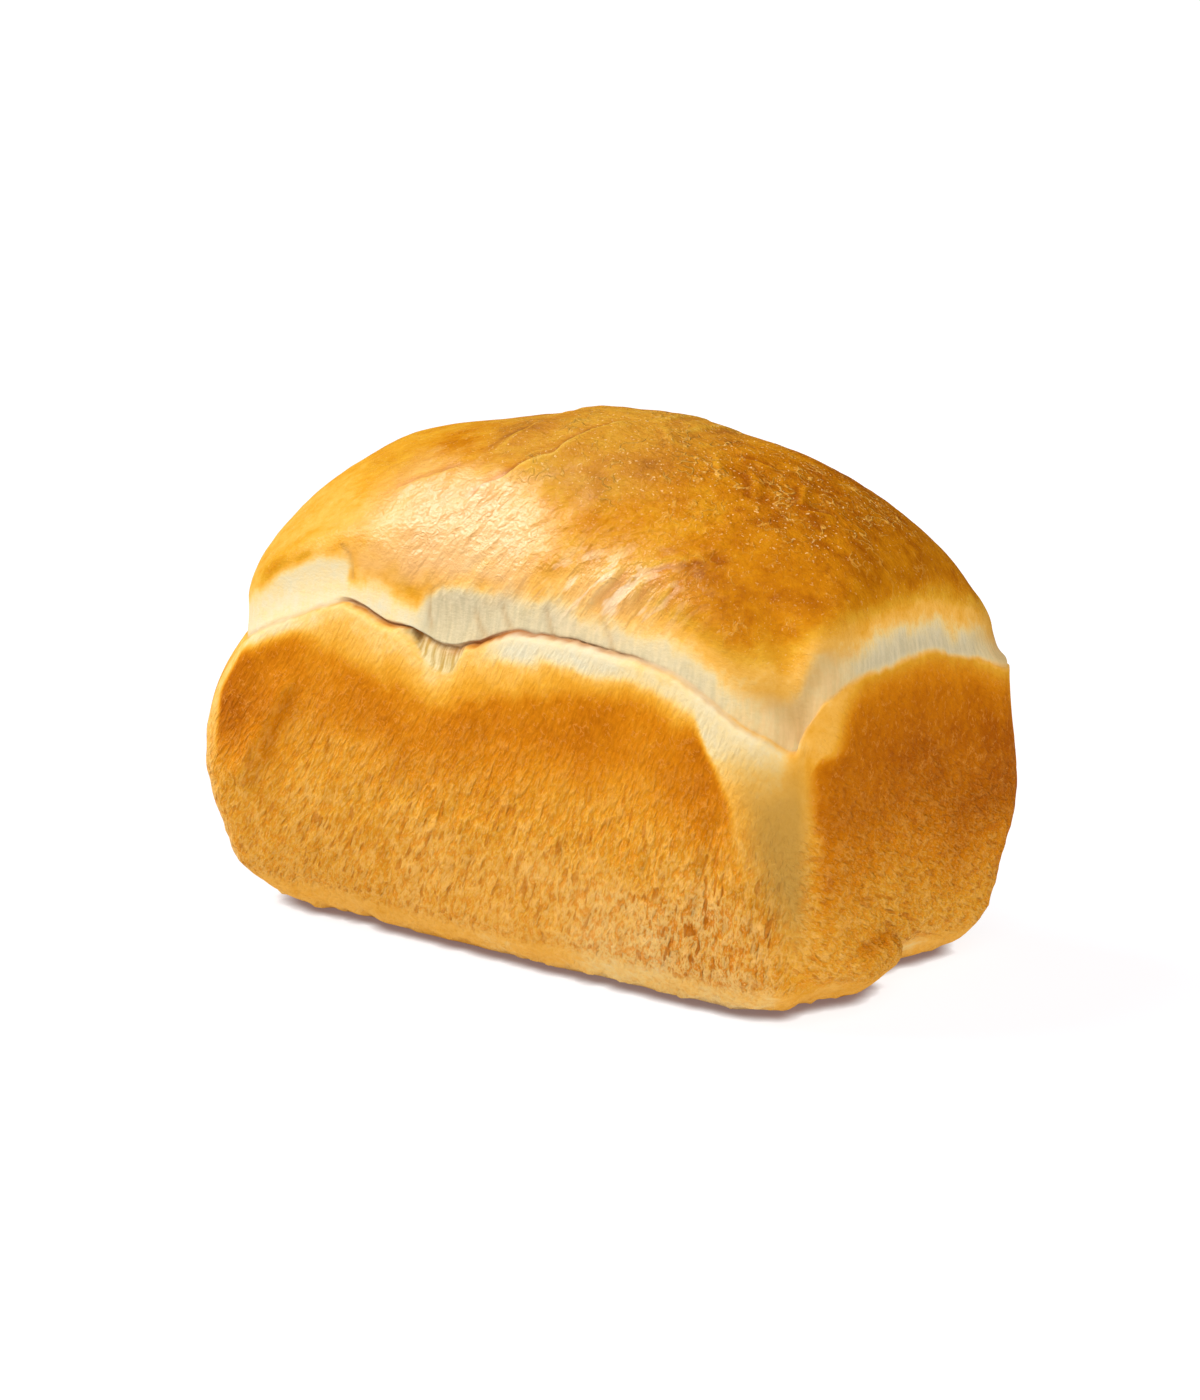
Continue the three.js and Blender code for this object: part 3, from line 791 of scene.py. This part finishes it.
# %% Make the loaf
mesh = bpy.data.meshes.new("loaf_skin")
mesh.from_pydata((skin * MM).tolist(), [], quads.tolist() + [base.tolist()])
mesh.polygons.foreach_set("use_smooth", np.arange(len(quads) + 1) < len(quads))
MAPS = {
    "around": around, "above": above,
    "done": done, "grey": grey, "dull": dull,
    "wall": wall, "end_face": endness, "wrinkled": wall * wrinkled * strong,
    "sheen": sheen, "highlight_strokes": highlight_strokes, "streaky": streaky, "flaky": flaky,
    "rims_and_painted_light": rims_and_painted_light * (0.12 + 0.88 * crown), "fold": fold,
    "torn": torn, "hole": hole, "line": line,
}
for name, values in MAPS.items():
    attribute = mesh.attributes.new(name, "FLOAT", "POINT")
    attribute.data.foreach_set("value", values.astype(np.float32))
mesh.update()
loaf = bpy.data.objects.new("baked_loaf", mesh)
scene.collection.objects.link(loaf)
triangles = sum(len(face.vertices) - 2 for face in mesh.polygons)
print("loaf has", triangles, "triangles and the maps", list(MAPS))

# %% [markdown]
# The material is built from nodes, and a few short helpers keep that readable. A value can be a
# plain number or the socket of another node, and put takes care of which. Add makes a node and
# sets its inputs.

# %% Nodes and sockets
crust = bpy.data.materials.new("crust")
crust.use_nodes = True
nodes, links = crust.node_tree.nodes, crust.node_tree.links
nodes.clear()


def put(socket, value):
    if hasattr(value, "links"):
        links.new(value, socket)
    else:
        socket.default_value = value


def add(kind, **inputs):
    node = nodes.new(kind)
    for name, value in inputs.items():
        put(node.inputs[name], value)
    return node


print("material", crust.name, "starts empty")

# %% [markdown]
# Arithmetic comes next. Calc makes one math node of any kind. Times and plus take as many values
# as they are given, so that a mask can be written as a product of what it depends on.

# %% Arithmetic with nodes
def calc(operation, a, b=0.0, c=0.0):
    node = nodes.new("ShaderNodeMath")
    node.operation = operation
    for socket, value in zip(node.inputs, (a, b, c)):
        put(socket, value)
    return node.outputs[0]


def times(*factors):
    product = factors[0]
    for factor in factors[1:]:
        product = calc("MULTIPLY", product, factor)
    return product


def plus(*terms):
    total = terms[0]
    for term in terms[1:]:
        total = calc("ADD", total, term)
    return total


# %% [markdown]
# Three more: between is the ramp from the start of this lesson as a node, blend mixes or
# multiplies two colours, and read fetches one of the maps that the loaf carries.

# %% Ranges, blends and maps
def between(value, low, high, first=0.0, last=1.0):
    node = add("ShaderNodeMapRange", Value=value)
    node.interpolation_type = "SMOOTHSTEP"
    for name, number in (("From Min", low), ("From Max", high), ("To Min", first), ("To Max", last)):
        put(node.inputs[name], number)
    return node.outputs["Result"]


def blend(share, first, second, kind="MIX"):
    node = nodes.new("ShaderNodeMix")
    node.data_type = "RGBA"
    node.blend_type = kind
    for index, value in ((0, share), (6, first), (7, second)):
        put(node.inputs[index], value)
    return node.outputs[2]


def read(name):
    node = nodes.new("ShaderNodeAttribute")
    node.attribute_name = name
    return node.outputs["Fac"]


# %% [markdown]
# Two kinds of pattern are used. Speckle is noise in space, and can be stretched along a leaning
# axis, as the wall's wrinkles are. Strand noise is read on the unrolled skin instead, so that
# its lines always run straight up from the seam, also round a corner.

# %% Patterns
place = add("ShaderNodeTexCoord").outputs["Object"]


def speckle(scale, detail=3.0, rough=0.55, stretch=(1, 1, 1), lean=0.0):
    """Noise round 0 in object space: scale is lumps per metre, stretch makes them longer."""
    mapping = add("ShaderNodeMapping", Vector=place, Scale=stretch, Rotation=(0, math.radians(lean), 0))
    mapping.vector_type = "TEXTURE"
    node = add("ShaderNodeTexNoise", Vector=mapping.outputs[0], Scale=scale, Detail=detail, Roughness=rough)
    return calc("SUBTRACT", node.outputs["Fac"], 0.5)


def strand(thick, long, detail=2.0):
    """Noise round 0 on the unrolled skin, thick and long in mm."""
    spot = add("ShaderNodeCombineXYZ", X=calc("DIVIDE", read("around"), thick),
               Y=calc("DIVIDE", read("above"), long))
    node = add("ShaderNodeTexNoise", Vector=spot.outputs[0], Scale=1.0, Detail=detail)
    return calc("SUBTRACT", node.outputs["Fac"], 0.5)


print("pattern makers ready,", len(nodes), "node so far")

# %% [markdown]
# The wall's grain has to lean and stretch just like the wrinkles it sits on. So the same shear
# and squeeze as before is done once more, now with nodes. Long sides and ends need different
# ones, and the two results are blended, not the places they are read at, since blending those
# would smear the noise round the corners. Hairs are something else: thin curved fibres of skin.

# %% Grain and hairs
is_wall = read("wall")
is_crown = calc("SUBTRACT", 1.0, is_wall)
wrinkled_map = read("wrinkled")
apart = add("ShaderNodeSeparateXYZ", Vector=place)
at_x, at_y, at_z = apart.outputs
lean_x = calc("SUBTRACT", at_x, times(at_z, calc("MULTIPLY_ADD", at_x, -2.5, 0.5)))
lean_z = plus(at_z, times(at_y, 0.45))


def grain_noise(scale, detail, rough=0.5, squeeze=0.5):
    """Noise along the wall's wrinkles; a smaller squeeze draws it out longer."""
    along_long = add("ShaderNodeCombineXYZ", X=lean_x, Y=at_y, Z=times(at_z, squeeze)).outputs[0]
    along_end = add("ShaderNodeCombineXYZ", X=at_x, Y=times(at_y, squeeze), Z=lean_z).outputs[0]
    both = [add("ShaderNodeTexNoise", Vector=along, Scale=scale, Detail=detail, Roughness=rough)
            for along in (along_long, along_end)]
    mixed = blend(read("end_face"), both[0].outputs["Fac"], both[1].outputs["Fac"])
    return calc("SUBTRACT", mixed, 0.5)


def hairs(scale, thick, patches):
    """Short thin curved lines: where one noise crosses its middle, kept only in patches."""
    line_map = between(calc("ABSOLUTE", speckle(scale, 1.5)), 0.0, thick, 1.0, 0.0)
    return times(line_map, between(speckle(patches, 1.0), 0.02, 0.12))


# %% [markdown]
# The finest relief is smaller than the mesh can hold, so it is bump, built here as a height in
# mm. The walls get grain of two sizes, deeper where they are wrinkled, upright slits that come
# in clusters, and a few raised fibres.

# %% Fine relief of the walls
coarse_grain = grain_noise(600, 1.5, 0.45)
fine_grain = grain_noise(1700, 2)
clusters = between(speckle(75, 2), -0.12, 0.1, 0.4, 1.1)
slit_grain = grain_noise(480, 1, squeeze=0.25)
wall_slits = times(between(slit_grain, -0.17, -0.08, 1.0, 0.0), clusters, wrinkled_map)
fibres = times(hairs(560, 0.07, 380), is_wall)
wall_fine = plus(times(coarse_grain, 2.8), times(fine_grain, 0.8))
wall_fine = times(wall_fine, plus(times(wrinkled_map, 0.72), 0.28), is_wall)
wall_fine = plus(wall_fine, times(wall_slits, -0.28), times(fibres, 0.07))
print("wall relief done,", len(nodes), "nodes so far")

# %% [markdown]
# The crown gets leaning streaks, crinkles in its flaky skin, and a fine peel all over that is
# rougher where it flakes. The band just above the seam gets strands, because the dough was drawn
# out there. Walls and crown then add up to one height for the bump.

# %% Fine relief of the crown
in_strands = times(between(read("above"), 0.5, 2.0), between(read("above"), 6.0, 12.0, 1.0, 0.0))
leaning_streaks = times(speckle(300, 3, stretch=(1, 1, 4), lean=36), read("streaky"), 1.5)
crinkle = times(plus(hairs(190, 0.035, 90), times(hairs(340, 0.05, 160), 0.5)), read("flaky"))
peel = times(speckle(800, 3, 0.6, stretch=(1.6, 1, 1)), plus(times(read("flaky"), 0.7), 0.28))
strands = times(strand(1.5, 8, 4), in_strands, 0.3)
crown_fine = times(plus(leaning_streaks, times(crinkle, 0.5), peel, strands), is_crown)
relief_mm = plus(wall_fine, crown_fine)
bump = add("ShaderNodeBump", Height=relief_mm, Strength=1.0, Distance=MM)
print("relief nodes so far:", len(nodes))

# %% [markdown]
# Sugar and starch go from cream through honey to brown as they bake, so one ramp of shades can
# hold every colour of the crust. The shades are given as a screen shows them, and a small
# function turns them into the linear values that Blender works with.

# %% Shades of crust
def srgb(red, green, blue):
    def linear(c):
        c = c / 255
        return c / 12.92 if c <= 0.04045 else ((c + 0.055) / 1.055) ** 2.4
    return (linear(red), linear(green), linear(blue), 1)


SHADES = (
    (0.00, srgb(222, 210, 176)),     # cream
    (0.20, srgb(232, 206, 148)),     # pale straw
    (0.30, srgb(238, 197, 116)),     # straw
    (0.40, srgb(238, 178, 78)),      # honey
    (0.55, srgb(226, 158, 44)),      # gold
    (0.70, srgb(214, 137, 24)),      # amber
    (0.80, srgb(202, 120, 9)),       # light brown
    (0.90, srgb(186, 105, 5)),       # brown
    (1.00, srgb(164, 84, 3)),        # deep brown
)
print("shades from pale to brown:", len(SHADES))

# %% [markdown]
# No crust browns evenly, so the map of how well done it is gets broken up by speckles of several
# sizes. The crown has more of them, some leaning and some drawn out along the loaf. What lies
# low in the fine relief is a little darker, partly browner crust and partly painted shade, and
# fine flecks are paler, partly pale skin and partly painted glints. A floor keeps all these from
# bleaching the brown. Only the rims of the pleats come after it, since they are palest: partly
# their own tone and partly painted highlight and shade.

# %% Heat, speckled
heat = plus(read("done"), times(speckle(110, 3), 0.16), times(speckle(420, 3, 0.65), 0.22))
for speckles, where, amount in (
    (speckle(130, 4, 0.6, stretch=(1, 1, 3), lean=36), is_crown, 0.3),
    (speckle(45, 3), is_crown, 0.14),
    (speckle(170, 5, 0.7, stretch=(1.7, 1, 1)), is_crown, 0.34),
    (speckle(240, 4, 0.65, stretch=(2.5, 1, 1)), read("flaky"), 0.45),
    (strand(1.8, 10, 4), in_strands, 0.2),
):
    heat = plus(heat, times(speckles, where, amount))
# Low places of the fine relief get darker: partly browner crust, partly painted shade.
heat = plus(heat, times(wall_fine, -0.04), times(crown_fine, -0.1))
# Pale flecks: partly pale skin, partly painted glints.
flecks_and_glints = between(speckle(700, 3, 0.6, stretch=(1, 1, 3), lean=50), 0.15, 0.25)
heat = calc("SUBTRACT", heat, times(flecks_and_glints, between(read("done"), 0.5, 0.75), 0.2))
heat = calc("MAXIMUM", heat, calc("SUBTRACT", read("done"), 0.1))
# The pleats' rims: partly their own tone, partly painted highlight and painted shade.
heat = plus(heat, times(read("rims_and_painted_light"), -0.26))
print("heat done,", len(nodes), "nodes so far")

# %% [markdown]
# Heat picks the shade. The well done parts of the crown baked with their own thin glaze of
# starch, which takes away a little red and some blue, and so they are more golden than the
# walls. Multiplying by a pale tint does that at every shade alike.

# %% From heat to colour
GLAZE = (0.9, 0.99, 0.84, 1)
shades = add("ShaderNodeValToRGB", Fac=heat)
while len(shades.color_ramp.elements) < len(SHADES):
    shades.color_ramp.elements.new(0.5)
for element, (position, shade) in zip(shades.color_ramp.elements, SHADES):
    element.position, element.color = position, shade
glazed = times(is_crown, between(read("done"), 0.45, 0.65))
colour = blend(glazed, shades.outputs["Color"], GLAZE, "MULTIPLY")
print("colour ramp holds", len(shades.color_ramp.elements), "shades")

# %% [markdown]
# Torn dough inside the V hangs in pale shreds over darker gaps, so it mixes two colours by
# strand noise, and the deep hole among them is painted dark brown, as painted shade. The
# stretched band mixes two greyish creams by strand noise too.

# %% Torn shreds and pale strands
shreds = blend(between(strand(1.6, 6, 4), -0.16, 0.14), srgb(180, 148, 80), srgb(224, 208, 160))
# The deep hole: painted shade.
shreds = blend(read("hole"), shreds, srgb(112, 76, 26))
colour = blend(times(read("torn"), 0.85), colour, shreds)
pale_strands = blend(between(strand(1.8, 9, 4), -0.2, 0.2), srgb(188, 173, 136), srgb(208, 191, 152))
colour = blend(times(read("grey"), 0.85), colour, pale_strands)
print("shreds and strands done,", len(nodes), "nodes so far")

# %% [markdown]
# The rest are tints, each laid over the last by its own map: where, how strongly and in which
# shade. On the rough walls the valleys and slits of the grain are darker and its crests paler,
# most of all where the wall is pale: partly browning, partly painted shade in the hollows and
# painted highlight on the crests. On the crown the specks are painted glints, the sheen and the
# strokes are painted highlight, and the crinkles are paler, partly thin flaky skin and partly
# painted highlight on their edges. The seam line darkens the crease, partly its browner skin and
# partly painted shade, and the buckled folds are painted shade in their grooves.

# %% Tints over the crust
rough_wall = times(wrinkled_map, is_wall, calc("MULTIPLY_ADD", read("done"), -1.5, 1.7))
well_done = between(read("done"), 0.45, 0.7)
highlight_stroke_map = between(speckle(340, 2, 0.5, stretch=(1, 1, 5), lean=46), 0.0, 0.1)
TINTS = {
    # Valleys, crests and slits: partly browning, partly painted shade and painted highlight.
    "browned and shaded valleys": (times(between(coarse_grain, -0.12, 0.02, 1.0, 0.0), rough_wall), 0.5, (222, 126, 16)),
    "pale and lit crests": (times(between(coarse_grain, 0.0, 0.14), rough_wall), 0.42, (245, 184, 98)),
    "fine crests": (times(between(fine_grain, 0.03, 0.14), rough_wall), 0.42, (247, 190, 108)),
    "fine valleys": (times(between(fine_grain, -0.14, -0.03, 1.0, 0.0), rough_wall), 0.4, (226, 132, 14)),
    "shaded slits": (wall_slits, 0.6, (188, 102, 14)),
    "fibres": (times(fibres, well_done), 0.4, (226, 150, 66)),
    # Paler crinkles: partly thin flaky skin, partly painted highlight on their edges.
    "crinkles": (crinkle, 0.65, (240, 182, 84)),
    # Specks: painted glints.
    "glint specks": (times(between(speckle(1000, 1), 0.17, 0.22), read("flaky")), 0.6, (250, 214, 150)),
    # Sheen and strokes: painted highlight.
    "sheen": (read("sheen"), 0.6, (236, 186, 134)),
    "highlight_strokes": (times(highlight_stroke_map, read("highlight_strokes")), 0.85, (252, 222, 180)),
    # Seam line: partly browner skin, partly painted shade.
    "seam line and its shade": (read("line"), 1.0, (164, 90, 16)),
    # Painted shade in the grooves of the buckled folds.
    "shaded buckled folds": (read("fold"), 0.4, (180, 138, 84)),
    "dull places": (read("dull"), 0.8, (180, 138, 64)),
}
for where, strength, shade in TINTS.values():
    colour = blend(times(where, strength), colour, srgb(*shade))
print("tints:", ", ".join(TINTS))

# %% [markdown]
# The crown has a thin clear gloss, its own baked starch, while the walls and the pale band stay
# matt. It is made as a coat: its weight is a map, and everything even about it is a plain value.

# %% Gloss
glossy = times(between(read("done"), 0.2, 0.4), is_crown, calc("MULTIPLY_ADD", read("sheen"), 0.55, 0.08))
rough = between(plus(glossy, times(speckle(150, 3), 0.4)), 0.0, 1.0, 0.85, 0.6)
skin_shader = add("ShaderNodeBsdfPrincipled", Roughness=rough, Normal=bump.outputs[0])
put(skin_shader.inputs["Base Color"], colour)
put(skin_shader.inputs["Coat Weight"], glossy)
put(skin_shader.inputs["Coat Normal"], bump.outputs[0])
skin_shader.inputs["Coat Roughness"].default_value = 0.15
skin_shader.inputs["Coat IOR"].default_value = 1.75
skin_shader.inputs["Specular IOR Level"].default_value = 0.04
output = add("ShaderNodeOutputMaterial", Surface=skin_shader.outputs[0])
mesh.materials.append(crust)
print("crust material has", len(nodes), "nodes")

# %% [markdown]
# The skin now takes the solid's place in the frame. The solid stays behind it for weight and
# contact, and the loaf moves with the frame's one body.

# %% Join the frame
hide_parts("loaf")
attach(loaf, "root")
print("the loaf is dressed as", loaf.name)

# %% [markdown]
# The table is one wide pale plane, far wider than the picture needs, so that its edge never
# shows, not even from behind.

# %% Floor
floor_mesh = bpy.data.meshes.new("floor")
FLOOR_HALF = 20.0
floor_mesh.from_pydata([(-FLOOR_HALF, -FLOOR_HALF, 0), (FLOOR_HALF, -FLOOR_HALF, 0),
                        (FLOOR_HALF, FLOOR_HALF, 0), (-FLOOR_HALF, FLOOR_HALF, 0)], [], [(0, 1, 2, 3)])
floor = bpy.data.objects.new("floor", floor_mesh)
scene.collection.objects.link(floor)
print("floor is", 2 * FLOOR_HALF, "m wide")

# %% [markdown]
# It glows a little, like a light table, so the loaf throws hardly any shadow. Only right under
# the loaf's edge the glow is dimmed, by how much of the sky is closed off within a few
# millimetres. That leaves the thin soft shadow that ties the loaf to the table. The crust's
# gloss doesn't show the glow. The table belongs to the stage and isn't part of the loaf.

# %% Glow of the floor
SHADOW_REACH = 4
pale = bpy.data.materials.new("pale_floor")
pale.use_nodes = True
pale_nodes, pale_links = pale.node_tree.nodes, pale.node_tree.links
pale_shader = pale_nodes["Principled BSDF"]
closeness = pale_nodes.new("ShaderNodeAmbientOcclusion")
closeness.inputs["Distance"].default_value = SHADOW_REACH * MM
dimming = pale_nodes.new("ShaderNodeValToRGB")
DIM_SHADES = ((0.25, (0.22, 0.15, 0.14, 1)), (0.95, (1, 1, 1, 1)))
for element, (position, shade) in zip(dimming.color_ramp.elements, DIM_SHADES):
    element.position, element.color = position, shade
pale_links.new(closeness.outputs["AO"], dimming.inputs[0])
pale_links.new(dimming.outputs[0], pale_shader.inputs["Emission Color"])
pale_shader.inputs["Emission Strength"].default_value = 0.85
pale_shader.inputs["Base Color"].default_value = (0.22, 0.2, 0.22, 1)
pale_shader.inputs["Roughness"].default_value = 1
pale_shader.inputs["Specular IOR Level"].default_value = 0
floor_mesh.materials.append(pale)
floor.visible_glossy = False
print("shadow reaches", SHADOW_REACH, "mm")

# %% [markdown]
# Bread looks best under large soft light. Blender's sun lamp with a wide angle acts like a big
# soft panel that never fades with distance, so the floor stays even to the horizon. The key
# panel stands far to the left, half way up, and is the only one that the crust's gloss may
# show. The other two just fill: one from the front and one over the right end.

# %% Panels of light
def soft_sun(name, azimuth, elevation, strength, spread, in_gloss):
    """A panel of light; azimuth is measured from the front, to the right."""
    turn_to, rise_to = math.radians(azimuth), math.radians(elevation)
    towards = Vector((math.sin(turn_to) * math.cos(rise_to), -math.cos(turn_to) * math.cos(rise_to),
                      math.sin(rise_to)))
    light = bpy.data.lights.new(name, "SUN")
    light.energy = strength
    light.angle = math.radians(spread)
    lamp = bpy.data.objects.new(name, light)
    lamp.location = towards * 1.5
    lamp.rotation_euler = towards.to_track_quat("Z", "Y").to_euler()
    lamp.visible_glossy = in_gloss
    scene.collection.objects.link(lamp)


soft_sun("key", -66, 45, 3.0, 36, True)
soft_sun("front", 15, 32, 0.6, 60, False)
soft_sun("right", 68, 48, 1.8, 60, False)

# %% [markdown]
# The sky is dim to the loaf, so that its crust keeps deep colours, but shows white behind it.
# A light path node can tell the two apart: it knows whether a ray comes from the camera.

# %% Sky
SKY_STRENGTH = 0.1
sky = bpy.data.worlds.new("sky")
sky.use_nodes = True
sky_nodes, sky_links = sky.node_tree.nodes, sky.node_tree.links
dim = sky_nodes["Background"]
dim.inputs["Color"].default_value = (1, 1, 1, 1)
dim.inputs["Strength"].default_value = SKY_STRENGTH
white = sky_nodes.new("ShaderNodeBackground")
white.inputs["Color"].default_value = (1, 1, 1, 1)
ray = sky_nodes.new("ShaderNodeLightPath")
either = sky_nodes.new("ShaderNodeMixShader")
sky_links.new(ray.outputs["Is Camera Ray"], either.inputs[0])
sky_links.new(dim.outputs[0], either.inputs[1])
sky_links.new(white.outputs[0], either.inputs[2])
sky_links.new(either.outputs[0], sky_nodes["World Output"].inputs["Surface"])
scene.world = sky
sky.cycles_visibility.glossy = False
scene.view_settings.view_transform = "Standard"
print("sky has", len(sky_nodes), "nodes")
